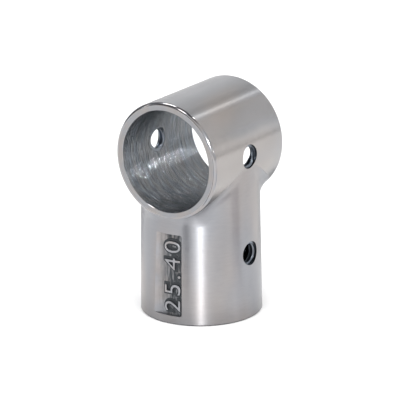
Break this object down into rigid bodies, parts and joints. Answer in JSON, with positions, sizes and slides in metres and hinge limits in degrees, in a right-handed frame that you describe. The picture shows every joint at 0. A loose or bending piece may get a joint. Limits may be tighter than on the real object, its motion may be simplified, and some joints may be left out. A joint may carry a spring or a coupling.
{
  "type": "tube clamp tee fitting",
  "caption": "One-piece cast steel tee for two equal tubes: a short open barrel for the rail on a blind socket leg for the post, with set screw holes in the sides.",
  "frame": {"origin": "where the barrel's axis crosses the leg's axis, at the middle of the barrel bore", "axes": "+Y along the barrel, -Z down the leg and out of its socket, X along the set screws"},
  "size_m": [0.0302, 0.0302, 0.0561],
  "materials": {
    "body": "cast stainless steel, polished to a satin sheen outside and machined in the bores"
  },
  "bodies": {
    "root": {"tee_body": "body"}
  },
  "joints": []
}
